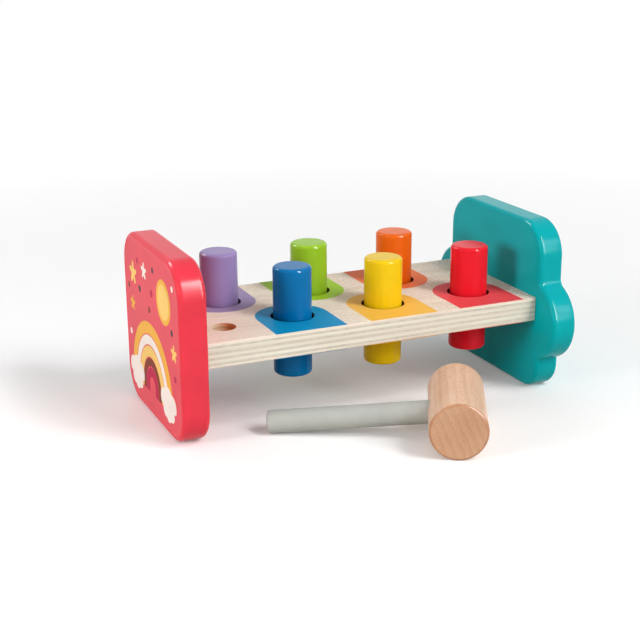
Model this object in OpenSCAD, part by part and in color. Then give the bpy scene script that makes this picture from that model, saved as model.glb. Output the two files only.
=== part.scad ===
// Peg pounding bench: a drilled plywood board between two shaped end panels,
// six pegs that rubber rings grip in the board, and a mallet that lies in front.
// X runs along the bench, -Y faces the player and Z is up. The origin is the
// middle of the footprint of bench and mallet, on the floor.

/* [End panels] */
// Length of the bench over both end panels
bench_len = 300; // [270:1:340]
// Height of the end panels
panel_h = 130; // [124:1:150]
// Width of the end panels, without the lobes
panel_w = 134; // [130:1:150]
// Thickness of the end panels
panel_t = 20; // [16:0.5:26]
// Radius of the end panels' corners
panel_corner_r = 26; // [20:1:32]
// Radius of the lower corners of the lobed panel
foot_corner_r = 20; // [14:1:22]
// Radius of the round-over along the panels' edges
panel_edge_r = 3.5; // [2:0.5:6]
// Radius of the two lobes
lobe_r = 30.5; // [24:0.5:32]
// Height of the lobes' centres
lobe_mid_h = 55; // [52:1:60]
// How far inside the panel's side a lobe's centre lies
lobe_inset = 9.5; // [5:0.5:14]
// Radius of the hollow above a lobe
upper_hollow_r = 6; // [3:0.5:10]
// Radius of the hollow below a lobe
lower_hollow_r = 2.5; // [2:0.5:5]

/* [Board] */
// Width of the board
board_w = 126; // [118:1:128]
// Thickness of the board
board_t = 18; // [15:0.5:22]
// Radius that softens the board's edges
board_edge_r = 1; // [0.5:0.25:3]
// Diameter of the peg holes
hole_d = 32; // [30:0.5:34]
// Distance between neighbouring holes of one row
hole_pitch = 72.5; // [68:0.5:76]
// Distance between the two rows of holes
row_gap = 54; // [50:0.5:58]
// Shift of all peg holes away from the mallet hole
hole_shift = 1.5; // [0:0.5:4]
// Diameter of the hole that stores the mallet
mallet_hole_d = 18; // [17:0.5:19]
// Distance from the left panel to the centre of the mallet hole
mallet_hole_inset = 23; // [22:0.5:26]
// Distance from the board's middle line forward to the centre of the mallet hole
mallet_hole_ahead = 31.5; // [29:0.5:33]

/* [Pegs and grip rings] */
// Diameter of a peg
peg_d = 28; // [26:0.5:29]
// Length of a peg
peg_len = 80; // [72:1:84]
// Radius of the rounding at both ends of a peg
peg_edge_r = 2.5; // [1:0.25:4]
// Height of a grip ring
ring_h = 6; // [4:0.5:8]
// How far a grip ring sits in the board beyond the hole's wall
groove_depth = 2.5; // [1.5:0.25:3]
// Gap between a grip ring and its peg
ring_running_gap = 0.05; // [0.04:0.01:0.09]
// Gap between a grip ring and its groove
ring_seat_gap = 0.1; // [0.05:0.05:0.3]
// Radius of a grip ring's inner lip
ring_lip_r = 1; // [0.5:0.25:1.5]

/* [Dowels] */
// Diameter of a dowel
dowel_d = 8; // [6:0.5:10]
// Length of a dowel inside the board
dowel_in_board = 20; // [15:0.5:21]
// Length of a dowel inside an end panel
dowel_in_panel = 12; // [8:0.5:12.5]
// Distance between the dowels of one end
dowel_gap = 48; // [47:0.5:50]
// Chamfer at a dowel's ends
dowel_chamfer = 1; // [0.5:0.25:1.5]
// Gap for glue round a dowel and past its ends
glue_gap = 0.1; // [0.05:0.05:0.3]

/* [Mallet] */
// Diameter of the mallet's head
head_d = 40.5; // [36:0.5:46]
// Length of the mallet's head
head_len = 83; // [70:1:90]
// Radius of the rounding at the head's ends
head_edge_r = 2; // [1:0.25:4]
// Diameter of the mallet's handle
handle_d = 16.5; // [14:0.5:17]
// Length of the handle from the head's axis to its free end
handle_reach = 133; // [120:1:145]
// Radius of the rounding at the handle's free end
handle_edge_r = 1.5; // [0.5:0.25:3]
// How far the handle goes into the head beyond the head's axis
handle_tail = 9; // [4:0.5:12]
// Place of the head's centre along the bench
mallet_x = 32; // [20:1:45]
// Distance from the board's front edge to the head's centre
mallet_ahead = 56; // [54:1:70]
// Turn of the mallet on the floor, in degrees
mallet_turn = -28; // [-35:1:-20]

/* [Hidden] */

// Left to right, the holes are numbered 0 to 5; even ones are in the back row.
PEG_COLOURS = ["mediumpurple", "royalblue", "yellowgreen", "gold", "darkorange", "crimson"];
// The part of each peg's length that is below the board's top face at rest.
peg_sunk_shares = [0.51, 0.533, 0.523, 0.553, 0.51, 0.538];

$fn = 64;
ROUND_STEPS = 5; // steps in a quarter of a panel's round-over
CORNER_STEPS = 12; // steps along each arc of a panel's outline
SOFT_STEPS = 4; // steps in a small softened edge
overrun = 1; // how far a cutter runs past the face that it opens

inner_x = bench_len / 2 - panel_t; // inner faces of the end panels
board_mid_z = panel_h / 2;
board_top_z = board_mid_z + board_t / 2;
lobe_mid_y = panel_w / 2 - lobe_inset;
groove_r = hole_d / 2 + groove_depth;
groove_h = ring_h + ring_seat_gap;
groove_z = board_mid_z - groove_h / 2;
mallet_hole_x = -inner_x + mallet_hole_inset;

// The head lies on its side and the handle leans until its free end meets the floor.
head_r = head_d / 2;
handle_r = handle_d / 2;
mallet_y = -board_w / 2 - mallet_ahead;
mallet_lean = asin(head_r / norm([handle_reach, handle_r])) - atan2(handle_r, handle_reach);

// The bench is moved back so that the origin is in the middle of the footprint.
back_y = lobe_mid_y + lobe_r;
front_y = mallet_y - head_edge_r - (head_len / 2 - head_edge_r) * cos(mallet_turn)
          - (head_r - head_edge_r) * abs(sin(mallet_turn));
bench_y = -(back_y + front_y) / 2;

function hole_x(i) = hole_shift + (i - 2.5) * hole_pitch / 2;
function hole_y(i) = (i % 2 == 0 ? 1 : -1) * row_gap / 2;

// Points along an arc from angle a to angle b, both ends included.
function arc_points(centre, r, a, b, steps) =
    [for (k = [0:steps]) let (t = a + (b - a) * k / steps) centre + r * [cos(t), sin(t)]];

// A rectangle round the origin with softened corners.
function soft_rectangle(w, h, r) =
    concat(arc_points([w / 2 - r, h / 2 - r], r, 0, 90, SOFT_STEPS),
           arc_points([-w / 2 + r, h / 2 - r], r, 90, 180, SOFT_STEPS),
           arc_points([-w / 2 + r, -h / 2 + r], r, 180, 270, SOFT_STEPS),
           arc_points([w / 2 - r, -h / 2 + r], r, 270, 360, SOFT_STEPS));

// Half the outline of a turned stick from z = 0 to z = len, with rounded ends.
function stick_profile(r, len, low_r, high_r) =
    concat([[0, 0]],
           arc_points([r - low_r, low_r], low_r, -90, 0, SOFT_STEPS),
           arc_points([r - high_r, len - high_r], high_r, 0, 90, SOFT_STEPS),
           [[0, len]]);

// A panel's outline is a ring of arcs [centre, radius, from, to], drawn anticlockwise.
// Where the outline is hollow, the radius is negative and the angle runs backwards.
function corner_arc(side, z, r, from) =
    [[side * (panel_w / 2 - r), z], r, from, from + 90];
function plain_outline() =
    [corner_arc(1, panel_corner_r, panel_corner_r, -90),
     corner_arc(1, panel_h - panel_corner_r, panel_corner_r, 0),
     corner_arc(-1, panel_h - panel_corner_r, panel_corner_r, 90),
     corner_arc(-1, panel_corner_r, panel_corner_r, 180)];

// A hollow of radius r touches the panel's side and a lobe: its centre's height
// above the lobe's, and the angle at which it meets the lobe.
function hollow_offset(r) = panel_w / 2 + r - lobe_mid_y;
function hollow_rise(r) = sqrt(pow(lobe_r + r, 2) - pow(hollow_offset(r), 2));
function hollow_angle(r) = atan2(hollow_rise(r), hollow_offset(r));
function lobed_outline() =
    let (up = upper_hollow_r, low = lower_hollow_r,
         a_up = hollow_angle(up), a_low = hollow_angle(low),
         z_up = lobe_mid_h + hollow_rise(up), z_low = lobe_mid_h - hollow_rise(low),
         y_up = panel_w / 2 + up, y_low = panel_w / 2 + low)
    [corner_arc(1, foot_corner_r, foot_corner_r, -90),
     [[y_low, z_low], -low, 180, 180 - a_low],
     [[lobe_mid_y, lobe_mid_h], lobe_r, -a_low, a_up],
     [[y_up, z_up], -up, 180 + a_up, 180],
     corner_arc(1, panel_h - panel_corner_r, panel_corner_r, 0),
     corner_arc(-1, panel_h - panel_corner_r, panel_corner_r, 90),
     [[-y_up, z_up], -up, 0, -a_up],
     [[-lobe_mid_y, lobe_mid_h], lobe_r, 180 - a_up, 180 + a_low],
     [[-y_low, z_low], -low, a_low, 0],
     corner_arc(-1, foot_corner_r, foot_corner_r, 180)];

// The outline's points, moved inwards by inset.
function outline_points(arcs, inset) =
    [for (arc = arcs)
        each arc_points(arc[0], abs(arc[1]) - sign(arc[1]) * inset, arc[2], arc[3], CORNER_STEPS)];

// A panel with both rims rounded over: the outline is drawn at each height of
// the round-over and the layers are joined into one skin. It stands on X = 0.
module rounded_panel(arcs) {
    quarter = [for (k = [0:ROUND_STEPS]) 90 * k / ROUND_STEPS];
    layers = concat(
        [for (t = quarter) [panel_edge_r * (1 - cos(t)), panel_edge_r * (1 - sin(t))]],
        [for (t = quarter) [panel_t - panel_edge_r * (1 - sin(t)), panel_edge_r * (1 - cos(t))]]);
    rings = [for (layer = layers)
                [for (p = outline_points(arcs, layer[1])) [layer[0], p[0], p[1]]]];
    n = len(rings[0]);
    last = len(rings) - 1;
    polyhedron(
        points = [for (ring = rings) each ring],
        faces = concat(
            [[for (i = [0:n - 1]) i]],
            [for (j = [0:last - 1], i = [0:n - 1])
                let (a = j * n + i, b = j * n + (i + 1) % n)
                each [[a, a + n, b + n], [a, b + n, b]]],
            [[for (i = [n - 1:-1:0]) last * n + i]]));
}

// The blind bores for the dowels, round the place where panel or board meets x.
module dowel_bores(x, depth_left, depth_right) {
    for (k = [-1:1])
        translate([x - depth_left - glue_gap, k * dowel_gap, board_mid_z])
            rotate([0, 90, 0])
                cylinder(d = dowel_d + 2 * glue_gap, h = depth_left + depth_right + 2 * glue_gap);
}

module end_panel(side, arcs) {
    difference() {
        translate([side > 0 ? inner_x : -inner_x - panel_t, 0, 0]) rounded_panel(arcs);
        if (side > 0) dowel_bores(inner_x, overrun, dowel_in_panel);
        else dowel_bores(-inner_x, dowel_in_panel, overrun);
    }
}

module left_end_panel() {
    color("indianred") end_panel(-1, plain_outline());
}

module right_end_panel() {
    color("darkcyan") end_panel(1, lobed_outline());
}

// One hole with the groove that seats its grip ring.
module peg_hole(i) {
    translate([hole_x(i), hole_y(i), 0]) {
        translate([0, 0, board_mid_z - board_t / 2 - overrun])
            cylinder(d = hole_d, h = board_t + 2 * overrun);
        translate([0, 0, groove_z]) cylinder(r = groove_r, h = groove_h);
    }
}

module bench_board() {
    color("wheat") difference() {
        intersection() {
            translate([-inner_x, 0, board_mid_z]) rotate([90, 0, 90])
                linear_extrude(2 * inner_x) polygon(soft_rectangle(board_w, board_t, board_edge_r));
            translate([0, 0, board_mid_z - board_t / 2])
                linear_extrude(board_t) polygon(soft_rectangle(2 * inner_x, board_w, board_edge_r));
        }
        for (i = [0:5]) peg_hole(i);
        translate([mallet_hole_x, -mallet_hole_ahead, board_mid_z - board_t / 2 - overrun])
            cylinder(d = mallet_hole_d, h = board_t + 2 * overrun);
        dowel_bores(-inner_x, overrun, dowel_in_board);
        dowel_bores(inner_x, dowel_in_board, overrun);
    }
}

// side is -1 at the left panel and 1 at the right; row is -1 in front to 1 at the back.
module dowel(side, row) {
    dowel_len = dowel_in_board + dowel_in_panel;
    start_x = side < 0 ? -inner_x - dowel_in_panel : inner_x - dowel_in_board;
    color("tan") translate([start_x, row * dowel_gap, board_mid_z]) rotate([0, 90, 0])
        rotate_extrude() polygon([[0, 0], [dowel_d / 2 - dowel_chamfer, 0],
            [dowel_d / 2, dowel_chamfer], [dowel_d / 2, dowel_len - dowel_chamfer],
            [dowel_d / 2 - dowel_chamfer, dowel_len], [0, dowel_len]]);
}

// A rubber ring with rounded lips, resting on the lower face of its groove.
module grip_ring(i) {
    bore_r = peg_d / 2 + ring_running_gap;
    rim_r = groove_r - ring_seat_gap;
    color([0.12, 0.12, 0.12]) translate([hole_x(i), hole_y(i), groove_z])
        rotate_extrude() polygon(concat(
            [[rim_r, 0], [rim_r, ring_h]],
            arc_points([bore_r + ring_lip_r, ring_h - ring_lip_r], ring_lip_r, 90, 180, SOFT_STEPS),
            arc_points([bore_r + ring_lip_r, ring_lip_r], ring_lip_r, 180, 270, SOFT_STEPS)));
}

module peg(i) {
    color(PEG_COLOURS[i])
        translate([hole_x(i), hole_y(i), board_top_z - peg_sunk_shares[i] * peg_len])
            rotate_extrude() polygon(stick_profile(peg_d / 2, peg_len, peg_edge_r, peg_edge_r));
}

// In the mallet's own frame the head lies along Y and the handle points to -X.
module mallet_place() {
    translate([mallet_x, mallet_y, head_r]) rotate([0, 0, mallet_turn]) rotate([0, -mallet_lean, 0])
        children();
}

module mallet_head() {
    color("burlywood") mallet_place() difference() {
        translate([0, head_len / 2, 0]) rotate([90, 0, 0])
            rotate_extrude() polygon(stick_profile(head_r, head_len, head_edge_r, head_edge_r));
        translate([handle_tail + glue_gap, 0, 0]) rotate([0, -90, 0])
            cylinder(d = handle_d + 2 * glue_gap, h = handle_tail + head_r + overrun);
    }
}

module mallet_handle() {
    color("darkgray") mallet_place() translate([handle_tail, 0, 0]) rotate([0, -90, 0])
        rotate_extrude() polygon(stick_profile(handle_r, handle_tail + handle_reach,
                                               handle_edge_r, handle_edge_r));
}

in_place = [0, bench_y, 0];
translate(in_place) bench_board();
translate(in_place) left_end_panel();
translate(in_place) right_end_panel();
translate(in_place) dowel(-1, -1);  // left_front_dowel
translate(in_place) dowel(-1, 0);  // left_middle_dowel
translate(in_place) dowel(-1, 1);  // left_back_dowel
translate(in_place) dowel(1, -1);  // right_front_dowel
translate(in_place) dowel(1, 0);  // right_middle_dowel
translate(in_place) dowel(1, 1);  // right_back_dowel
translate(in_place) grip_ring(0);  // purple_grip_ring
translate(in_place) grip_ring(1);  // blue_grip_ring
translate(in_place) grip_ring(2);  // green_grip_ring
translate(in_place) grip_ring(3);  // yellow_grip_ring
translate(in_place) grip_ring(4);  // orange_grip_ring
translate(in_place) grip_ring(5);  // red_grip_ring
translate(in_place) peg(0);  // purple_peg
translate(in_place) peg(1);  // blue_peg
translate(in_place) peg(2);  // green_peg
translate(in_place) peg(3);  // yellow_peg
translate(in_place) peg(4);  // orange_peg
translate(in_place) peg(5);  // red_peg
translate(in_place) mallet_head();
translate(in_place) mallet_handle();
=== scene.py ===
"""The looks of the peg pounding bench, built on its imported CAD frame.

X runs along the bench, -Y faces the player and Z is up. All lengths are in metres.
"""

import bpy
import numpy as np
from mathutils import Matrix, Vector


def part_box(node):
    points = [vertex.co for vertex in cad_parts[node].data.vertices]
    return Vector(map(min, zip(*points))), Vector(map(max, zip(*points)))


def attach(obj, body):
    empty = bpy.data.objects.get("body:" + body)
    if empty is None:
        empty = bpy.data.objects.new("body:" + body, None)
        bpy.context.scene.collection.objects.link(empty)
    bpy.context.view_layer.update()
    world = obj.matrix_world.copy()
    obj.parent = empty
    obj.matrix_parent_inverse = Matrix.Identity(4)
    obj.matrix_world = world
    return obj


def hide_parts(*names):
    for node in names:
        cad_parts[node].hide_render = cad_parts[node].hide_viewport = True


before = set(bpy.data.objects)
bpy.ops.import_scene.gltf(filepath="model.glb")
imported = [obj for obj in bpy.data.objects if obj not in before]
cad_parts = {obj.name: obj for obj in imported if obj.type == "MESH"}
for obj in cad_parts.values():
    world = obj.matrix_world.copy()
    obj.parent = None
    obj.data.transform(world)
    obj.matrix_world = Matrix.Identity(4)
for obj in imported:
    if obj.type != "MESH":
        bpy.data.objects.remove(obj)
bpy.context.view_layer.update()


# Board
# The board is sanded birch plywood, nine plies with crossing grain, sawn to size
# and drilled. Its faces show quiet veneer and its edges show the stacked plies.
MM = 0.001
board_low, board_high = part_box("bench_board")
BENCH_MID_Y = (board_low.y + board_high.y) / 2
BOARD_MID_Z = 65 * MM
BOARD_T = 18 * MM
BOARD_W = 126 * MM
PLY_COUNT = 9
PLY_MARGIN = 0.01
OUTER_PLY_T = 1.2 * MM
FACE_SKIN = 0.3 * MM
PLY_SWAY = 0.9 * MM
MALLET_HOLE_X = -107 * MM
MALLET_HOLE_Y = BENCH_MID_Y - 31.5 * MM
MALLET_HOLE_REACH = 11 * MM
RIM_CLEAR = 2 * MM
WALL_TILT = 0.5
# Colours are sRGB from 0 to 255. A stop pairs a place along a noise with a colour.
FACE_STOPS = ((0.22, (222, 203, 183)), (0.74, (244, 229, 210)))
CORE_STOPS = ((0.34, (224, 214, 198)), (0.62, (238, 233, 219)))
CROSS_STOPS = ((0.35, (196, 182, 162)), (0.65, (216, 206, 188)))
# The mallet hole's raw wall tone runs from painted light, pale on its left, to painted shade, browner on
# its right.
RAW_WALL_LIGHT_SHADE_STOPS = ((0.22, (252, 240, 224)), (0.78, (228, 160, 110)))
FLECK_TONE = (255, 252, 247)
GLUE_TONE = (176, 158, 134)
# The peg holes' walls take a dark tint that is painted shade.
HOLE_SHADE_TINT = (74, 58, 52)
# Cells are counted per metre along X, Y and Z.
PLY_SWAY_CELLS = (14, 14, 60)
VENEER_CELLS = (7, 120, 120)
STREAK_CELLS = (10, 60, 700)
CROSS_CELLS = (160, 40, 300)
FLECK_CELLS = (300, 620, 620)
# A slope and a level turn a noise or a distance into a share.
CROSS_SLOPE = -7.0
CROSS_LEVEL = 3.1
CROSS_EDGE = 0.4
GLUE_SLOPE = -12.0
GLUE_SHARE = 0.35
STREAK_SLOPE = 1.1
STREAK_LEVEL = 0.2
# A drift along X darkens the veneer towards +X, as painted shade.
FIGURE_SHADE_DRIFT = -1.1
FLECK_SLOPE = 10.0
FLECK_LEVEL = -5.7
FLECK_DRIFT = 2.2
FLECK_MIDDLE = 0.65
ROUGH_SLOPE = 0.22
ROUGH_LEVEL = 0.44
VENEER_HEIGHT = 0.5
GLUE_HEIGHT = -0.6
GRAIN_RELIEF = 0.08 * MM
SANDED_GLOSS = 0.08


def linear(colour):
    """Turn an sRGB colour from 0 to 255 into the linear one that shaders use. Low shares
    are divided by 12.92. The rest gain 0.055, are divided by 1.055 and raised to 2.4."""
    share = np.array(colour) / 255
    lifted = np.where(share < 0.04045, share / 12.92, ((share + 0.055) / 1.055) ** 2.4)
    return (*lifted, 1.0)


def add(tree, kind, inputs=(), **settings):
    """Add a shader node. Inputs pair a socket's name or number with a value, or with
    the output socket to link to it."""
    node = tree.nodes.new(kind)
    for key, value in settings.items():
        setattr(node, key, value)
    for key, value in dict(inputs).items():
        if isinstance(value, bpy.types.NodeSocket):
            tree.links.new(value, node.inputs[key])
        else:
            node.inputs[key].default_value = value
    return node


def sums(tree, operation, first, second=0.0, third=0.0):
    """One step of arithmetic between sockets or numbers."""
    return add(tree, "ShaderNodeMath", {0: first, 1: second, 2: third}, operation=operation).outputs[0]


def between(tree, value, low, high):
    """A value held between two limits."""
    return sums(tree, "MINIMUM", sums(tree, "MAXIMUM", value, low), high)


def distance(tree, first, second):
    """The length of the slant that two offsets at right angles make."""
    squares = sums(tree, "MULTIPLY_ADD", first, first, sums(tree, "MULTIPLY", second, second))
    return sums(tree, "SQRT", squares)


def stretched_noise(tree, place, stretch, detail=3.0, warp=0.0):
    """Noise whose cells per metre along X, Y and Z are given by stretch."""
    mapped = add(tree, "ShaderNodeMapping", {"Vector": place, "Scale": stretch})
    return add(tree, "ShaderNodeTexNoise", {"Vector": mapped.outputs[0], "Scale": 1.0, "Detail": detail,
                                            "Distortion": warp}).outputs[0]


def ramp(tree, share, stops):
    """Colours blended along a share from 0 to 1. Each stop is a place and an sRGB colour."""
    node = add(tree, "ShaderNodeValToRGB", {0: share})
    while len(node.color_ramp.elements) < len(stops):
        node.color_ramp.elements.new(0.5)
    for element, (place, colour) in zip(node.color_ramp.elements, stops):
        element.position = place
        element.color = linear(colour)
    return node.outputs[0]


def blend(tree, share, first, second, how="MIX"):
    """Two colours mixed by a share, as sockets or sRGB colours."""
    node = add(tree, "ShaderNodeMix", data_type="RGBA", blend_type=how)
    for key, value in ((0, share), (6, first), (7, second)):
        if isinstance(value, bpy.types.NodeSocket):
            tree.links.new(value, node.inputs[key])
        else:
            node.inputs[key].default_value = value if key == 0 else linear(value)
    return node.outputs[2]


def blank_material(name):
    """A material with only a shader, and the coordinates of the object it is on."""
    material = bpy.data.materials.new(name)
    material.use_nodes = True
    tree = material.node_tree
    shader = tree.nodes["Principled BSDF"]
    place = add(tree, "ShaderNodeTexCoord").outputs["Object"]
    return material, tree, shader, place


def finish_surface(tree, shader, colour, roughness, height, depth):
    """Link a colour, a roughness and a bump height, the last over a depth in metres."""
    bump = add(tree, "ShaderNodeBump", {"Height": height, "Distance": depth, "Strength": 1.0})
    tree.links.new(colour, shader.inputs["Base Color"])
    tree.links.new(roughness, shader.inputs["Roughness"])
    tree.links.new(bump.outputs[0], shader.inputs["Normal"])


def give(obj, material):
    """Let an object wear one material only."""
    obj.data.materials.clear()
    obj.data.materials.append(material)


def plywood():
    """Plies counted by height, from the lower face. How far the count's remainder by two
    lies from 1.5 tells the crossing plies, which are thinner, from those with their grain
    along X, and glue lines lie where it is CROSS_EDGE. Pale flecks lie on both faces. They
    grow clearer along X, and a painted shade darkens the veneer along X. A painted shade
    darkens the walls of the peg holes, and the raw wall of the mallet hole has painted
    light on its left and painted shade, browner, towards its right."""
    material, tree, shader, place = blank_material("birch_plywood")
    x, y, z = add(tree, "ShaderNodeSeparateXYZ", {0: place}).outputs
    sway = stretched_noise(tree, place, PLY_SWAY_CELLS)
    lift = sums(tree, "MULTIPLY_ADD", sway, PLY_SWAY, BOARD_T / 2 - BOARD_MID_Z - PLY_SWAY / 2)
    count = sums(tree, "DIVIDE", sums(tree, "ADD", z, lift), BOARD_T / PLY_COUNT)
    count = between(tree, count, PLY_MARGIN, PLY_COUNT - PLY_MARGIN)
    off_cross = sums(tree, "ABSOLUTE", sums(tree, "SUBTRACT", sums(tree, "MODULO", count, 2.0), 1.5))
    cross_share = between(tree, sums(tree, "MULTIPLY_ADD", off_cross, CROSS_SLOPE, CROSS_LEVEL), 0.0, 1.0)
    off_glue = sums(tree, "ABSOLUTE", sums(tree, "SUBTRACT", off_cross, CROSS_EDGE))
    glue = sums(tree, "MAXIMUM", sums(tree, "MULTIPLY_ADD", off_glue, GLUE_SLOPE, 1.0), 0.0)
    depth = sums(tree, "ABSOLUTE", sums(tree, "SUBTRACT", z, BOARD_MID_Z))
    outer = sums(tree, "GREATER_THAN", depth, BOARD_T / 2 - OUTER_PLY_T)
    on_face = sums(tree, "GREATER_THAN", depth, BOARD_T / 2 - FACE_SKIN)
    inside = sums(tree, "SUBTRACT", 1.0, on_face)
    streaks = stretched_noise(tree, place, STREAK_CELLS, detail=4.0)
    streak_share = sums(tree, "MULTIPLY_ADD", streaks, STREAK_SLOPE, STREAK_LEVEL)
    cross_share = sums(tree, "MULTIPLY", cross_share, streak_share)
    cross_share = sums(tree, "MULTIPLY", cross_share, inside)
    glue = sums(tree, "MULTIPLY", glue, inside)
    along = stretched_noise(tree, place, VENEER_CELLS, detail=6.0, warp=0.3)
    across = stretched_noise(tree, place, CROSS_CELLS, detail=4.0)
    # Painted shade: the veneer darkens towards +X.
    figure_and_shade = sums(tree, "MULTIPLY_ADD", x, FIGURE_SHADE_DRIFT, along)
    face = ramp(tree, figure_and_shade, FACE_STOPS)
    core = ramp(tree, streaks, CORE_STOPS)
    cross = ramp(tree, across, CROSS_STOPS)
    plies = blend(tree, cross_share, blend(tree, outer, core, face), cross)
    flecks = stretched_noise(tree, place, FLECK_CELLS, detail=1.0)
    fleck_share = between(tree, sums(tree, "MULTIPLY_ADD", flecks, FLECK_SLOPE, FLECK_LEVEL), 0.0, 1.0)
    clearness = sums(tree, "MULTIPLY_ADD", x, FLECK_DRIFT, FLECK_MIDDLE)
    clearness = sums(tree, "MULTIPLY", clearness, on_face)
    plies = blend(tree, sums(tree, "MULTIPLY", fleck_share, clearness), plies, FLECK_TONE)
    plies = blend(tree, sums(tree, "MULTIPLY", glue, GLUE_SHARE), plies, GLUE_TONE)
    # Painted shade darkens the walls of the peg holes.
    facing = add(tree, "ShaderNodeNewGeometry").outputs["Normal"]
    upright = sums(tree, "ABSOLUTE", add(tree, "ShaderNodeSeparateXYZ", {0: facing}).outputs[2])
    off_side = sums(tree, "ABSOLUTE", sums(tree, "SUBTRACT", y, BENCH_MID_Y))
    walls = sums(tree, "MULTIPLY", sums(tree, "LESS_THAN", upright, WALL_TILT),
                 sums(tree, "LESS_THAN", off_side, BOARD_W / 2 - RIM_CLEAR))
    from_hole_x = sums(tree, "SUBTRACT", x, MALLET_HOLE_X)
    away = distance(tree, from_hole_x, sums(tree, "SUBTRACT", y, MALLET_HOLE_Y))
    to_right = sums(tree, "MULTIPLY_ADD", from_hole_x, 0.5 / MALLET_HOLE_REACH, 0.5)
    # The mallet hole's raw wall gets painted light on its left and painted shade, browner, on its right.
    raw_lit_and_shaded = ramp(tree, to_right, RAW_WALL_LIGHT_SHADE_STOPS)
    tint = blend(tree, sums(tree, "GREATER_THAN", away, MALLET_HOLE_REACH), raw_lit_and_shaded, HOLE_SHADE_TINT)
    plies = blend(tree, walls, plies, tint, "MULTIPLY")
    rough = sums(tree, "MULTIPLY_ADD", along, ROUGH_SLOPE, ROUGH_LEVEL)
    height = sums(tree, "MULTIPLY_ADD", along, VENEER_HEIGHT, sums(tree, "MULTIPLY", glue, GLUE_HEIGHT))
    finish_surface(tree, shader, plies, rough, height, GRAIN_RELIEF)
    shader.inputs["Specular IOR Level"].default_value = SANDED_GLOSS
    return material


give(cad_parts["bench_board"], plywood())


# Colour patches
# Round every peg hole an arch in the peg's colour is printed on the board. It runs
# to the nearer long edge, on the upper and the lower face alike, as a film of ink.
HOLE_PITCH = 72.5 * MM
HOLE_SHIFT = 1.5 * MM
ROW_Y = 27 * MM
HOLE_R = 16 * MM
ARCH_R = 27 * MM
ARCH_STOP = 0.3 * MM
INK_T = 0.1 * MM
COLOURS = ("purple", "blue", "green", "yellow", "orange", "red")
PATCH_TONES = ((162, 142, 182), (0, 142, 192), (163, 205, 44),
               (244, 188, 74), (238, 118, 62), (232, 74, 80))
PATCH_GRAIN = (9, 190, 190)
PATCH_ROUGHNESS = 0.42
PATCH_STEPS = 144
INK_GLOSS = 0.05
PAINT_DRIFT_CELLS = (28, 28, 28)
PAINT_PEEL_CELLS = (450, 450, 450)
DRIFT_SHARE = 0.55
DARKEST_SHARE = 0.965
PALEST_SHARE = 1.025
PAINT_RELIEF = 0.004 * MM
ROUGH_SPREAD = 0.1


def skin(name, rings, material, body, joined=False, smooth=True):
    """Join rings of points into one closed surface that rides on a CAD body. Each ring
    closes on itself. Either the last ring meets the first, or one flat face closes each
    end. Faces are turned so that the volume inside is positive."""
    rings = np.asarray(rings, float)
    count, around = rings.shape[:2]
    points = rings.reshape(-1, 3)
    step = np.arange(count if joined else count - 1)[:, None]
    turn = np.arange(around)[None, :]
    ahead, beside = (step + 1) % count, (turn + 1) % around
    quads = np.stack([step * around + turn, ahead * around + turn,
                      ahead * around + beside, step * around + beside], -1).reshape(-1, 4)
    faces = quads.tolist()
    if not joined:
        faces += [turn[0].tolist(), ((count - 1) * around + turn[0])[::-1].tolist()]
    volume = sum(float(np.dot(points[f[0]], np.cross(points[f[k]], points[f[k + 1]])))
                 for f in faces for k in range(1, len(f) - 1))
    if volume < 0:
        faces = [f[::-1] for f in faces]
    mesh = bpy.data.meshes.new(name)
    mesh.from_pydata(points.tolist(), [], faces)
    mesh.polygons.foreach_set("use_smooth", [smooth] * len(faces))
    mesh.update()
    obj = bpy.data.objects.new(name, mesh)
    bpy.context.scene.collection.objects.link(obj)
    give(obj, material)
    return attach(obj, body)


def tinted(colour, share):
    """An sRGB colour made lighter or darker by a share."""
    return tuple(float(np.clip(c * share, 0, 255)) for c in colour)


def paint(name, colour, roughness, grain, gloss=INK_GLOSS):
    """Sprayed paint or ink on wood: the tone drifts a little, the wood's grain shows
    through faintly in tone and sheen, and the skin has a fine orange peel."""
    material, tree, shader, place = blank_material(name)
    drift = stretched_noise(tree, place, PAINT_DRIFT_CELLS, detail=2.0)
    lines = stretched_noise(tree, place, grain, detail=5.0, warp=0.4)
    peel = stretched_noise(tree, place, PAINT_PEEL_CELLS, detail=1.0)
    both = sums(tree, "MULTIPLY_ADD", drift, DRIFT_SHARE, sums(tree, "MULTIPLY", lines, 1 - DRIFT_SHARE))
    darkest, palest = tinted(colour, DARKEST_SHARE), tinted(colour, PALEST_SHARE)
    tone = ramp(tree, both, ((0.3, darkest), (0.5, colour), (0.7, palest)))
    rough = sums(tree, "MULTIPLY_ADD", lines, ROUGH_SPREAD, roughness - ROUGH_SPREAD / 2)
    finish_surface(tree, shader, tone, rough, peel, PAINT_RELIEF)
    shader.inputs["Specular IOR Level"].default_value = gloss
    return material


def hole_centre(number):
    """Where hole number 0 to 5 lies, even ones in the back row."""
    side = 1 if number % 2 == 0 else -1
    return HOLE_SHIFT + (number - 2.5) * HOLE_PITCH / 2, side * ROW_Y


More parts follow.
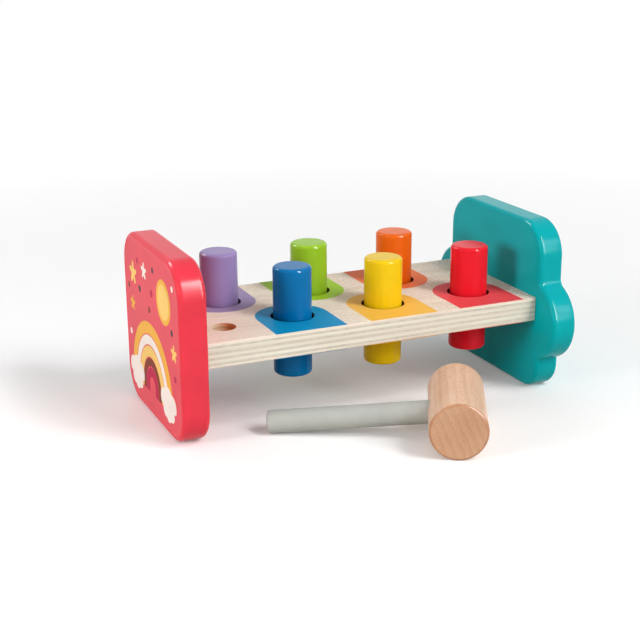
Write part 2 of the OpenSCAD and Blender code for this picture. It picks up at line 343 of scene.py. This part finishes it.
def arch_patch(name, number, height, material):
    """A film between two loops with the same bearings from the hole's centre: the hole's
    circle, and an arch that is round towards the board's middle and square outwards. The
    square part's radius is the lesser of ARCH_R over the bearing's cosine and the reach
    over its sine."""
    x, y = hole_centre(number)
    outward = np.sign(y)
    reach = BOARD_W / 2 - ROW_Y - ARCH_STOP
    corner = np.arctan2(reach, ARCH_R)
    even = np.linspace(0, 2 * np.pi, PATCH_STEPS + 1)[:-1]
    bearing = np.unique(np.concatenate([even, [corner, np.pi - corner]]))
    across, out = np.cos(bearing), np.sin(bearing)
    least = 1e-9
    straight = np.minimum(ARCH_R / np.maximum(np.abs(across), least), reach / np.maximum(out, least))
    far = np.where(out > 0, straight, ARCH_R)
    loops = []
    for radius, level in ((HOLE_R, -0.5), (HOLE_R, 0.5), (far, 0.5), (far, -0.5)):
        flat = np.full(len(bearing), height + level * INK_T)
        loops.append(np.stack([x + radius * across, BENCH_MID_Y + y + outward * radius * out, flat], -1))
    return skin(name, np.stack(loops, 1), material, "bench", joined=True, smooth=False)


for number, (colour, tone) in enumerate(zip(COLOURS, PATCH_TONES)):
    ink = paint(f"{colour}_ink", tone, PATCH_ROUGHNESS, PATCH_GRAIN)
    arch_patch(f"{colour}_upper_patch", number, BOARD_MID_Z + BOARD_T / 2, ink)
    arch_patch(f"{colour}_lower_patch", number, BOARD_MID_Z - BOARD_T / 2, ink)


# Dowels
# Plain turned hardwood dowels are glued into blind bores and hold the panels to
# the board. They are out of sight once the bench is put together.
DOWEL_PALE = (224, 190, 146)
DOWEL_DEEP = (190, 148, 100)
DOWEL_SPOT = (160, 120, 80)
PITH_X = -85 * MM
PITH_Z = -30 * MM
RINGS_PER_METRE = 185.0
RING_SWAY = 1.1
RING_RISE = 2.0
RING_FALL = 14.0
RING_CELLS = (45, 9, 45)
CLOUD_CELLS = (38, 14, 38)
FIBRE_CELLS = (900, 45, 900)
SPOT_CELLS = (1300, 260, 1300)
RING_WEIGHT = 0.2
CLOUD_WEIGHT = 0.52
FIBRE_WEIGHT = 0.3
SPOT_LEVEL = 0.635
SPOT_SHARE = 0.4
END_TINT = (222, 206, 192)
END_SHARE = 0.85
END_DEPTH = 1.9 * MM
END_SLOPE = 1.8 / MM
# The tint on the rims of the sawn ends is painted shade.
RIM_SHADE_TINT = (238, 222, 208)
RIM_WIDTH = 1.6 * MM
COAT_ROUGH_SLOPE = 0.16
COAT_ROUGH_LEVEL = 0.26
RING_HEIGHT = -0.35
FIBRE_RELIEF = 0.03 * MM
COAT_GLOSS = 0.22


def turned_wood(name, pale, deep, fleck, turn, centre=(0, 0, 0), half=1.0, radius=1.0):
    """Growth rings round a pith line that runs along the piece's own Y, beside its middle.
    One solid pattern gives arcs on end grain and long lines on the side. A ring's late
    wood is its fraction raised to RING_RISE, times one less it raised to RING_FALL. The
    sawn ends, half the length from the centre, are darker, and a painted shade darkens
    their rims further."""
    material, tree, shader, place = blank_material(name)
    own = add(tree, "ShaderNodeMapping", {"Vector": place, "Location": centre, "Rotation": turn},
              vector_type="TEXTURE").outputs[0]
    x, y, z = add(tree, "ShaderNodeSeparateXYZ", {0: own}).outputs
    far = distance(tree, sums(tree, "SUBTRACT", x, PITH_X), sums(tree, "SUBTRACT", z, PITH_Z))
    sway = sums(tree, "MULTIPLY", stretched_noise(tree, own, RING_CELLS), RING_SWAY)
    rings = sums(tree, "FRACT", sums(tree, "MULTIPLY_ADD", far, RINGS_PER_METRE, sway))
    fall = sums(tree, "SUBTRACT", 1.0, sums(tree, "POWER", rings, RING_FALL))
    late = sums(tree, "MULTIPLY", sums(tree, "POWER", rings, RING_RISE), fall)
    cloud = stretched_noise(tree, own, CLOUD_CELLS)
    fibres = stretched_noise(tree, own, FIBRE_CELLS)
    tone = sums(tree, "MULTIPLY_ADD", late, RING_WEIGHT, sums(tree, "MULTIPLY", cloud, CLOUD_WEIGHT))
    tone = sums(tree, "MULTIPLY_ADD", fibres, FIBRE_WEIGHT, tone)
    body = ramp(tree, tone, ((0.28, pale), (0.72, deep)))
    spots = stretched_noise(tree, own, SPOT_CELLS, detail=1.0)
    spot_share = sums(tree, "MULTIPLY", sums(tree, "GREATER_THAN", spots, SPOT_LEVEL), SPOT_SHARE)
    body = blend(tree, spot_share, body, fleck)
    sawn = sums(tree, "MULTIPLY_ADD", sums(tree, "ABSOLUTE", y), END_SLOPE, END_SLOPE * (END_DEPTH - half))
    sawn = between(tree, sawn, 0.0, 1.0)
    body = blend(tree, sums(tree, "MULTIPLY", sawn, END_SHARE), body, END_TINT, "MULTIPLY")
    # Painted shade: the rims of the sawn ends darken further.
    near_rim = sums(tree, "GREATER_THAN", distance(tree, x, z), radius - RIM_WIDTH)
    body = blend(tree, sums(tree, "MULTIPLY", sawn, near_rim), body, RIM_SHADE_TINT, "MULTIPLY")
    rough = sums(tree, "MULTIPLY_ADD", fibres, COAT_ROUGH_SLOPE, COAT_ROUGH_LEVEL)
    height = sums(tree, "MULTIPLY_ADD", late, RING_HEIGHT, fibres)
    finish_surface(tree, shader, body, rough, height, FIBRE_RELIEF)
    shader.inputs["Specular IOR Level"].default_value = COAT_GLOSS
    return material


dowel_wood = turned_wood("dowel_hardwood", DOWEL_PALE, DOWEL_DEEP, DOWEL_SPOT, (0, 0, np.pi / 2))
for side in ("left", "right"):
    for row in ("front", "middle", "back"):
        give(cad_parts[f"{side}_{row}_dowel"], dowel_wood)


# Left end panel
# The left panel is a rounded square of wood, painted coral red all over, with a
# soft round-over along both rims. A hair-deep flat on its outer face takes a print.
INNER_X = 130 * MM
PANEL_T = 20 * MM
PANEL_W = 134 * MM
PANEL_H = 130 * MM
CORNER_R = 26 * MM
EDGE_R = 3.5 * MM
LEDGE = 0.3 * MM
FIELD_INSET = EDGE_R + 0.4 * MM
INNER_LOOP_INSETS = (20 * MM, 40 * MM)
WHOLE_INSET = 60 * MM
ARC_STEPS = 30
ARC_LEAST_STEP = 0.001 * MM
ROUNDING_STEPS = 10
CORAL = (234, 60, 76)
PANEL_GRAIN = (60, 12, 60)
CORAL_ROUGHNESS = 0.2
CORAL_GLOSS = 0.09


def corner(side, z, radius, start):
    """A quarter-round corner: centre, radius, first and last angle in degrees."""
    return (side * (PANEL_W / 2 - radius), z), radius, start, start + 90


def outline(arcs, inset):
    """Points along a ring of arcs, moved inwards by an inset. A hollow arc has a
    negative radius, so the inset makes it larger. Where two arcs meet, one point stays."""
    pieces = []
    for (y, z), radius, start, end in arcs:
        angle = np.radians(np.linspace(start, end, ARC_STEPS + 1))
        reach = abs(radius) - np.sign(radius) * inset
        pieces.append(np.stack([y + reach * np.cos(angle), z + reach * np.sin(angle)], -1))
    ring = np.concatenate(pieces)
    return ring[np.hypot(*(ring - np.roll(ring, 1, 0)).T) > ARC_LEAST_STEP]


def panel_rings(arcs, outer_x, inward, recess=0.0):
    """Rings from the middle of the outer face, over the rim, to the middle of the inner
    face. Each is the outline at one inset and depth. A round-over is a quarter circle.
    The two rings nearest the middle of a face are the outline scaled towards it."""
    quarter = np.radians(np.linspace(0, 90, ROUNDING_STEPS + 1))
    turn_in = EDGE_R * (1 - np.sin(quarter))
    turn_down = EDGE_R * (1 - np.cos(quarter))
    near, deep = INNER_LOOP_INSETS
    face = [(deep, recess), (near, recess), (FIELD_INSET + LEDGE, recess), (FIELD_INSET, recess),
            (FIELD_INSET, 0), (EDGE_R + LEDGE, 0)]
    over = list(zip(turn_in, turn_down))
    side = [(0, EDGE_R + LEDGE), (0, PANEL_T - EDGE_R - LEDGE)]
    under = [(inset, PANEL_T - depth) for inset, depth in over[::-1]]
    back = [(EDGE_R + LEDGE, PANEL_T), (near, PANEL_T), (deep, PANEL_T)]
    middle = np.array([0, PANEL_H / 2])
    flat = outline(arcs, EDGE_R + LEDGE)
    rings = []
    for inset, depth in face + over + side + under + back:
        if inset in INNER_LOOP_INSETS:
            loop = middle + (flat - middle) * (1 - inset / WHOLE_INSET)
        else:
            loop = outline(arcs, inset)
        x = np.full(len(loop), outer_x + inward * depth)
        rings.append(np.stack([x, BENCH_MID_Y + loop[:, 0], loop[:, 1]], -1))
    return rings


PLAIN_ARCS = [corner(1, CORNER_R, CORNER_R, -90), corner(1, PANEL_H - CORNER_R, CORNER_R, 0),
              corner(-1, PANEL_H - CORNER_R, CORNER_R, 90), corner(-1, CORNER_R, CORNER_R, 180)]
coral_paint = paint("coral_paint", CORAL, CORAL_ROUGHNESS, PANEL_GRAIN, CORAL_GLOSS)
left_rings = panel_rings(PLAIN_ARCS, -INNER_X - PANEL_T, 1, LEDGE)
left_panel = skin("left_panel_shell", left_rings, coral_paint, "bench")
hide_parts("left_end_panel")


# Print on the left panel
# A plain printed picture fills the outer face: a duller red ground with a striped
# bow over two clouds, a round sun and small dots and stars, each a film of ink.
FACE_X = -INNER_X - PANEL_T
# Depths below the outer face: the backs of all films, then the fronts of layers 0 to 2.
LEVELS = (0.27 * MM, 0.17 * MM, 0.10 * MM, 0.05 * MM)
FILM_GAP = 0.05 * MM
PICTURE_ROUGHNESS = 0.4
PICTURE_TONES = {"ground": (231, 84, 96), "butter": (250, 205, 112), "amber": (245, 180, 62),
                 "cream": (250, 236, 228), "cocoa": (132, 54, 28), "soot": (62, 58, 60),
                 "berry": (192, 26, 74)}
# Places are to the right and up from the middle of the face's foot, in millimetres.
BOW_RIGHT = -4
BOW_UP = 24
BOW_LEG = 6
BOW_STEPS = 72
# Each stripe: its inner and outer radius and its ink.
STRIPES = ((39, 48, "amber"), (31, 38, "cream"), (22, 30, "butter"), (15, 21, "cocoa"), (7, 14, "berry"))
CLOUDS = (("left", -42), ("right", 34))
CLOUD_UP = 21
CLOUD_R = 13
CLOUD_PUFF = 2.2
CLOUD_PUFFS = 6
CLOUD_FOOT = 0.72
CLOUD_STRETCH = 0.28
DISC_RIGHT = 31
DISC_UP = 97
DISC_RIM_R = 16
DISC_R = 12.5
# Each star and dot: its place, its radius and its ink.
STARS = ((-42, 100, 9, "butter"), (-14, 108, 6.5, "cream"), (-46, 76, 6, "amber"), (51, 66, 6.5, "butter"))
STAR_TIPS = 5
STAR_DEPTH = 0.28
LOOP_STEPS = 96
DOTS = ((-26, 92, 2.6, "soot"), (-30, 112, 2.2, "berry"), (3, 96, 2.8, "berry"), (8, 114, 2.2, "soot"),
        (-54, 88, 2.2, "cocoa"), (-4, 82, 2.4, "cocoa"), (48, 80, 2.4, "soot"), (52, 112, 2.2, "cream"),
        (-54, 52, 2.4, "cream"), (52, 48, 2.4, "berry"))


def face_point(right, up, level):
    """A point of the outer face seen from outside: right is towards -Y."""
    right, up = np.broadcast_arrays(right, up)
    return np.stack([np.full(right.shape, FACE_X + level), BENCH_MID_Y - right, up], -1)


def ink_blob(name, right, up, bearing, radius, layer, material):
    """A film with a single outline, given as a radius at each bearing from its middle,
    in millimetres. A higher layer ends further out."""
    edge_right = (right + radius * np.cos(bearing)) * MM
    edge_up = (up + radius * np.sin(bearing)) * MM
    rings = [face_point(edge_right, edge_up, level) for level in (LEVELS[layer + 1], LEVELS[0])]
    return skin(name, rings, material, "bench", smooth=False)


def ink_band(name, inner, outer, layer, material):
    """A stripe of the bow: a film that follows a half circle between two radii and runs
    down two legs."""
    angle = np.linspace(0, np.pi, BOW_STEPS + 1)
    across = np.concatenate([[1.0], np.cos(angle), [-1.0]])
    rise = np.concatenate([[0.0], np.sin(angle), [0.0]])
    drop = np.concatenate([[BOW_LEG], np.zeros(len(angle)), [BOW_LEG]])
    front, back = LEVELS[layer + 1], LEVELS[0]
    corners = ((inner, front), (outer, front), (outer, back), (inner, back))
    sections = [face_point((BOW_RIGHT + r * across) * MM, (BOW_UP + r * rise - drop) * MM, level)
                for r, level in corners]
    return skin(name, np.stack(sections, 1), material, "bench", smooth=False)


inks = {tone: paint(f"{tone}_picture_ink", colour, PICTURE_ROUGHNESS, PANEL_GRAIN)
        for tone, colour in PICTURE_TONES.items()}
ground_loop = (outline(PLAIN_ARCS, FIELD_INSET + FILM_GAP) - [0, PANEL_H / 2]) / MM
ground_bearing = np.arctan2(ground_loop[:, 1], -ground_loop[:, 0])
ink_blob("picture_ground", 0, PANEL_H / 2 / MM, ground_bearing, np.hypot(*ground_loop.T), 0, inks["ground"])
for inner, outer, tone in STRIPES:
    ink_band(f"bow_{tone}_stripe", inner, outer, 1, inks[tone])
full_turn = np.linspace(0, 2 * np.pi, LOOP_STEPS + 1)[:-1]
puffs = CLOUD_R + CLOUD_PUFF * np.abs(np.sin(CLOUD_PUFFS / 2 * full_turn))
foot = np.where(np.sin(full_turn) < 0, CLOUD_FOOT, 1.0)
cloud = puffs * foot * (1 + CLOUD_STRETCH * np.cos(full_turn) ** 2)
for side, right in CLOUDS:
    ink_blob(f"{side}_cloud", right, CLOUD_UP, full_turn, cloud, 2, inks["cream"])
even = np.ones(LOOP_STEPS)
ink_blob("sun_rim", DISC_RIGHT, DISC_UP, full_turn, DISC_RIM_R * even, 1, inks["amber"])
ink_blob("sun_disc", DISC_RIGHT, DISC_UP, full_turn, DISC_R * even, 2, inks["butter"])
star = 1 - STAR_DEPTH + STAR_DEPTH * np.cos(STAR_TIPS * full_turn)
for number, (right, up, size, tone) in enumerate(STARS):
    ink_blob(f"star_{number}", right, up, full_turn + np.pi / 2, size * star, 1, inks[tone])
for number, (right, up, size, tone) in enumerate(DOTS):
    ink_blob(f"dot_{number}", right, up, full_turn, size * even, 1, inks[tone])


# Right end panel
# The right panel is cut from the same wood with a round lobe at each side, painted
# teal all over. The hollows above and below the lobes are eased by hand.
LOBE_R = 30.5 * MM
LOBE_UP = 55 * MM
LOBE_INSET = 9.5 * MM
FOOT_CORNER_R = 20 * MM
UPPER_HOLLOW_R = 6 * MM
LOWER_HOLLOW_R = 2.5 * MM
TEAL = (0, 168, 174)
TEAL_ROUGHNESS = 0.14
TEAL_GLOSS = 0.07
lobe_y = PANEL_W / 2 - LOBE_INSET


def hollow(radius):
    """Where a hollow touches both the panel's side and a lobe: its centre's offset and
    rise from the lobe's centre, by Pythagoras, and its bearing from there."""
    offset = PANEL_W / 2 + radius - lobe_y
    rise = np.sqrt((LOBE_R + radius) ** 2 - offset**2)
    return offset, rise, np.degrees(np.arctan2(rise, offset))


up_off, up_rise, up_angle = hollow(UPPER_HOLLOW_R)
low_off, low_rise, low_angle = hollow(LOWER_HOLLOW_R)
LOBED_ARCS = [
    corner(1, FOOT_CORNER_R, FOOT_CORNER_R, -90),
    ((lobe_y + low_off, LOBE_UP - low_rise), -LOWER_HOLLOW_R, 180, 180 - low_angle),
    ((lobe_y, LOBE_UP), LOBE_R, -low_angle, up_angle),
    ((lobe_y + up_off, LOBE_UP + up_rise), -UPPER_HOLLOW_R, 180 + up_angle, 180),
    corner(1, PANEL_H - CORNER_R, CORNER_R, 0),
    corner(-1, PANEL_H - CORNER_R, CORNER_R, 90),
    ((-lobe_y - up_off, LOBE_UP + up_rise), -UPPER_HOLLOW_R, 0, -up_angle),
    ((-lobe_y, LOBE_UP), LOBE_R, 180 - up_angle, 180 + low_angle),
    ((-lobe_y - low_off, LOBE_UP - low_rise), -LOWER_HOLLOW_R, low_angle, 0),
    corner(-1, FOOT_CORNER_R, FOOT_CORNER_R, 180),
]
teal_paint = paint("teal_paint", TEAL, TEAL_ROUGHNESS, PANEL_GRAIN, TEAL_GLOSS)
right_rings = panel_rings(LOBED_ARCS, INNER_X + PANEL_T, -1)
right_panel = skin("right_panel_shell", right_rings, teal_paint, "bench")
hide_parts("right_end_panel")


# Grip rings
# Black rubber rings sit in a groove halfway down each hole and hold the pegs by
# friction. They are moulded, with a fine matte grain.
RUBBER_STOPS = ((0.3, (26, 26, 28)), (0.7, (46, 46, 48)))
SPECKLE_CELLS = (900, 900, 900)
BLOOM_CELLS = (60, 60, 60)
RUBBER_ROUGH_SLOPE = 0.25
RUBBER_ROUGH_LEVEL = 0.5
RUBBER_RELIEF = 0.05 * MM
rubber, tree, shader, place = blank_material("grip_rubber")
speckle = stretched_noise(tree, place, SPECKLE_CELLS)
bloom = stretched_noise(tree, place, BLOOM_CELLS, detail=2.0)
black = ramp(tree, bloom, RUBBER_STOPS)
matte = sums(tree, "MULTIPLY_ADD", speckle, RUBBER_ROUGH_SLOPE, RUBBER_ROUGH_LEVEL)
finish_surface(tree, shader, black, matte, speckle, RUBBER_RELIEF)
for colour in COLOURS:
    give(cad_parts[f"{colour}_grip_ring"], rubber)


# Pegs
# Six pegs are cut from beech dowel, rounded at both ends and dipped in gloss paint.
# Each stands a little higher or lower in its rubber ring than the next.
PEG_R = 14 * MM
PEG_LEN = 80 * MM
PEG_EDGE_R = 2.5 * MM
PEG_SUNK_SHARES = (0.51, 0.533, 0.523, 0.553, 0.51, 0.538)
PEG_TONES = ((156, 136, 190), (0, 114, 176), (152, 198, 44),
             (240, 200, 18), (238, 104, 20), (232, 28, 44))
PEG_ROUGHNESS = 0.15
PEG_GRAIN = (220, 220, 16)
PEG_GLOSS = 0.09
EDGE_NEAR = 0.3 * MM
STICK_STEPS = 8
STICK_AROUND = 144


def stick_profile(radius, length, edge_r):
    """Radius and height pairs up a round stick whose ends are quarter-rounded, with
    close pairs next to each rounding so that flats stay flat. A rounding's pairs are the
    edge's radius times the sine and the cosine of an angle that runs to 90 degrees."""
    quarter = np.radians(np.linspace(0, 90, STICK_STEPS + 1))
    rises = np.linspace(edge_r + EDGE_NEAR, length - edge_r - EDGE_NEAR, STICK_STEPS + 1)
    core = radius - edge_r
    low = [(core + edge_r * np.sin(a), edge_r - edge_r * np.cos(a)) for a in quarter]
    high = [(core + edge_r * np.cos(a), length - edge_r + edge_r * np.sin(a)) for a in quarter]
    side = [(radius, rise) for rise in rises]
    return np.array([(core - EDGE_NEAR, 0)] + low + side + high + [(core - EDGE_NEAR, length)])


def lathe(profile, base, axis, side, around=STICK_AROUND):
    """Rings of a profile turned about an axis from a base point. Side is square to the
    axis, and other is square to both. A point is the base, plus the radius times the
    cosine along side and the sine along other, plus the height along the axis."""
    axis, side = np.array(axis, float), np.array(side, float)
    other = np.cross(axis, side)
    angle = np.linspace(0, 2 * np.pi, around + 1)[:-1]
    spoke = np.cos(angle)[:, None] * side + np.sin(angle)[:, None] * other
    return np.array(base) + profile[:, 0, None, None] * spoke + profile[:, 1, None, None] * axis


for number, (colour, tone, sunk) in enumerate(zip(COLOURS, PEG_TONES, PEG_SUNK_SHARES)):
    x, y = hole_centre(number)
    foot = BOARD_MID_Z + BOARD_T / 2 - sunk * PEG_LEN
    peg_paint = paint(f"{colour}_peg_paint", tone, PEG_ROUGHNESS, PEG_GRAIN, PEG_GLOSS)
    peg_shape = stick_profile(PEG_R, PEG_LEN, PEG_EDGE_R)
    rings = lathe(peg_shape, (x, BENCH_MID_Y + y, foot), (0, 0, 1), (1, 0, 0))
    peg = skin(f"{colour}_peg_turned", rings, peg_paint, f"{colour}_peg_body")
    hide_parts(f"{colour}_peg")


# Mallet
# The mallet's head is a turned beech drum under clear coat, bored halfway for its
# handle. The handle is a beech dowel painted pale grey and glued in.
HEAD_R = 20.25 * MM
HEAD_LEN = 83 * MM
HEAD_EDGE_R = 2 * MM
HANDLE_R = 8.25 * MM
HANDLE_REACH = 133 * MM
HANDLE_EDGE_R = 1.5 * MM
HANDLE_TAIL = 9 * MM
MALLET_TURN = np.radians(-28)
MALLET_MIDDLE = np.array([32 * MM, BENCH_MID_Y - 119 * MM, HEAD_R])
HEAD_AROUND = 192
BEECH_PALE = (242, 205, 176)
BEECH_DEEP = (218, 168, 134)
BEECH_SPOT = (190, 142, 106)
HANDLE_GREY = (180, 182, 176)
HANDLE_ROUGHNESS = 0.42
HANDLE_GRAIN = (120, 120, 120)
HANDLE_GLOSS = 0.1
# The handle leans until the lower rim of its end, taken as sharp, meets the floor.
mallet_lean = np.arcsin(HEAD_R / np.hypot(HANDLE_REACH, HANDLE_R)) - np.arctan2(HANDLE_R, HANDLE_REACH)
placing = Matrix.Rotation(MALLET_TURN, 3, "Z") @ Matrix.Rotation(-mallet_lean, 3, "Y")
own_x, own_y = (np.array(placing @ Vector(v)) for v in ((1, 0, 0), (0, 1, 0)))
beech = turned_wood("clear_coated_beech", BEECH_PALE, BEECH_DEEP, BEECH_SPOT,
                    (0, -mallet_lean, MALLET_TURN), tuple(MALLET_MIDDLE), HEAD_LEN / 2, HEAD_R)
head_shape = stick_profile(HEAD_R, HEAD_LEN, HEAD_EDGE_R)
head_rings = lathe(head_shape, MALLET_MIDDLE - own_y * HEAD_LEN / 2, own_y, own_x, HEAD_AROUND)
head = skin("mallet_drum", head_rings, beech, "mallet")
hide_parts("mallet_head")
grey_paint = paint("grey_handle_paint", HANDLE_GREY, HANDLE_ROUGHNESS, HANDLE_GRAIN, HANDLE_GLOSS)
handle_shape = stick_profile(HANDLE_R, HANDLE_TAIL + HANDLE_REACH, HANDLE_EDGE_R)
handle_rings = lathe(handle_shape, MALLET_MIDDLE + own_x * HANDLE_TAIL, -own_x, own_y)
handle = skin("mallet_stick", handle_rings, grey_paint, "mallet")
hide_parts("mallet_handle")


# Floor and sky
# The floor is pale, keeps the soft shadows and fades into a plain white backdrop. It
# throws less light on the object than it shows, and so does the white sky.
FLOOR_SEEN = (246, 246, 246)
FLOOR_BOUNCE = (202, 199, 191)
FLOOR_ROUGHNESS = 0.9
FLOOR_GLOSS = 0.1
FLOOR_LIFT = 0.12
FLOOR_REACH = 6
FADE_START = 0.4
FADE_END = 0.95
SKY_FILL = 0.44
WHITE = (1, 1, 1, 1)


def seen_share(tree):
    """One on rays that the camera, a gloss or a clear piece sends out, and nought on
    those that carry light to the object."""
    paths = add(tree, "ShaderNodeLightPath").outputs
    direct = sums(tree, "MAXIMUM", paths["Is Camera Ray"], paths["Is Glossy Ray"])
    return sums(tree, "MAXIMUM", direct, paths["Is Transmission Ray"])


floor_corners = [(-FLOOR_REACH, -FLOOR_REACH, 0), (FLOOR_REACH, -FLOOR_REACH, 0),
                 (FLOOR_REACH, FLOOR_REACH, 0), (-FLOOR_REACH, FLOOR_REACH, 0)]
floor_mesh = bpy.data.meshes.new("floor")
floor_mesh.from_pydata(floor_corners, [], [(0, 1, 2, 3)])
floor = bpy.data.objects.new("floor", floor_mesh)
bpy.context.scene.collection.objects.link(floor)
floor_material, tree, shader, place = blank_material("pale_floor")
seen = seen_share(tree)
tree.links.new(blend(tree, seen, FLOOR_BOUNCE, FLOOR_SEEN), shader.inputs["Base Color"])
shader.inputs["Roughness"].default_value = FLOOR_ROUGHNESS
shader.inputs["Specular IOR Level"].default_value = FLOOR_GLOSS
shader.inputs["Emission Color"].default_value = WHITE
tree.links.new(sums(tree, "MULTIPLY", seen, FLOOR_LIFT), shader.inputs["Emission Strength"])
spot = add(tree, "ShaderNodeSeparateXYZ", {0: place}).outputs
from_middle = sums(tree, "SUBTRACT", distance(tree, spot[0], spot[1]), FADE_START)
fade = between(tree, sums(tree, "DIVIDE", from_middle, FADE_END - FADE_START), 0.0, 1.0)
fade = sums(tree, "MULTIPLY", fade, seen)
white = add(tree, "ShaderNodeEmission", {"Color": WHITE, "Strength": 1.0}).outputs[0]
mixed = add(tree, "ShaderNodeMixShader", {0: fade, 1: shader.outputs[0], 2: white}).outputs[0]
tree.links.new(mixed, tree.nodes["Material Output"].inputs["Surface"])
give(floor, floor_material)

world = bpy.data.worlds.new("studio")
bpy.context.scene.world = world
world.use_nodes = True
tree = world.node_tree
tree.nodes.clear()
fill = add(tree, "ShaderNodeBackground", {"Color": WHITE, "Strength": SKY_FILL}).outputs[0]
white = add(tree, "ShaderNodeBackground", {"Color": WHITE, "Strength": 1.0}).outputs[0]
mixed = add(tree, "ShaderNodeMixShader", {0: seen_share(tree), 1: fill, 2: white}).outputs[0]
add(tree, "ShaderNodeOutputWorld", {0: mixed})


# Lamps
# A wide key light comes from the right and front, and a weaker lamp stands low on the
# left. Two lamps for gloss only draw the gleams on the paint and light nothing.
LAMP_AIM = Vector((0, 0, 70 * MM))
SUN_STRENGTH = 1.2
SUN_SPREAD = np.radians(24)
SUN_FROM = Vector((0.46, -0.79, 0.62))


def soft_lamp(name, spot, width, height, power, gloss_only=False):
    """A flat lamp at a spot, turned towards the bench. One for gloss only is seen in
    shiny paint and lights nothing else."""
    data = bpy.data.lights.new(name, "AREA")
    data.shape = "RECTANGLE"
    data.size, data.size_y = width, height
    data.energy = power
    lamp = bpy.data.objects.new(name, data)
    lamp.visible_camera = False
    lamp.visible_diffuse = not gloss_only
    lamp.matrix_world = Matrix.LocRotScale(
        Vector(spot), (Vector(spot) - LAMP_AIM).to_track_quat("Z", "Y"), None)
    bpy.context.scene.collection.objects.link(lamp)


soft_lamp("key_lamp", (0.6, -0.8, 1.25), width=0.3, height=0.3, power=6)
soft_lamp("left_lamp", (-1.35, -0.25, 0.45), width=0.4, height=0.4, power=8.5)
soft_lamp("front_gleam", (0.62, -1.25, 0.85), width=0.45, height=1.35, power=150, gloss_only=True)
soft_lamp("back_gleam", (-0.8, 1.0, 1.0), width=0.5, height=0.5, power=28, gloss_only=True)

sun_data = bpy.data.lights.new("key_sun", "SUN")
sun_data.energy = SUN_STRENGTH
sun_data.angle = SUN_SPREAD
sun = bpy.data.objects.new("key_sun", sun_data)
sun.matrix_world = SUN_FROM.to_track_quat("Z", "Y").to_matrix().to_4x4()
bpy.context.scene.collection.objects.link(sun)


# Camera
# The camera stands to the left of the player and looks slightly down. Its angles, in
# radians, its lens and the bench's offset from it, in its own axes, were fitted to the
# edges seen in the photograph.
FOCAL_PX = 1285.81
PICTURE_PX = 640
SENSOR_W = 36
CLIP_START = 10 * MM
TIP = 0.309712
ROLL = -0.005298
SWING = 0.415567
OFFSET = np.array([17.969, 52.938, 990.520]) * MM


def camera_axes():
    """Rows of the turn from the bench to the camera's right, down and forward: swing
    about Z, swap of axes, tip about the camera's right, roll about its line of sight."""
    c, s = np.cos(SWING), np.sin(SWING)
    about_z = np.array([[c, -s, 0], [s, c, 0], [0, 0, 1]])
    swap = np.array([[1, 0, 0], [0, 0, -1], [0, 1, 0]])
    c, s = np.cos(TIP), np.sin(TIP)
    about_right = np.array([[1, 0, 0], [0, c, -s], [0, s, c]])
    c, s = np.cos(ROLL), np.sin(ROLL)
    about_sight = np.array([[c, -s, 0], [s, c, 0], [0, 0, 1]])
    return about_sight @ about_right @ swap @ about_z


right, down, forward = camera_axes()
stand = -np.stack([right, down, forward]).T @ OFFSET + [0, BENCH_MID_Y, 0]
lens = bpy.data.cameras.new("camera")
lens.sensor_width = SENSOR_W
lens.lens = FOCAL_PX / PICTURE_PX * SENSOR_W
lens.clip_start = CLIP_START
camera = bpy.data.objects.new("camera", lens)
turned = np.eye(4)
turned[:3, :3] = np.stack([right, -down, -forward], 1)
turned[:3, 3] = stand
camera.matrix_world = Matrix(turned.tolist())
bpy.context.scene.collection.objects.link(camera)
bpy.context.scene.camera = camera
bpy.context.scene.view_settings.view_transform = "Standard"
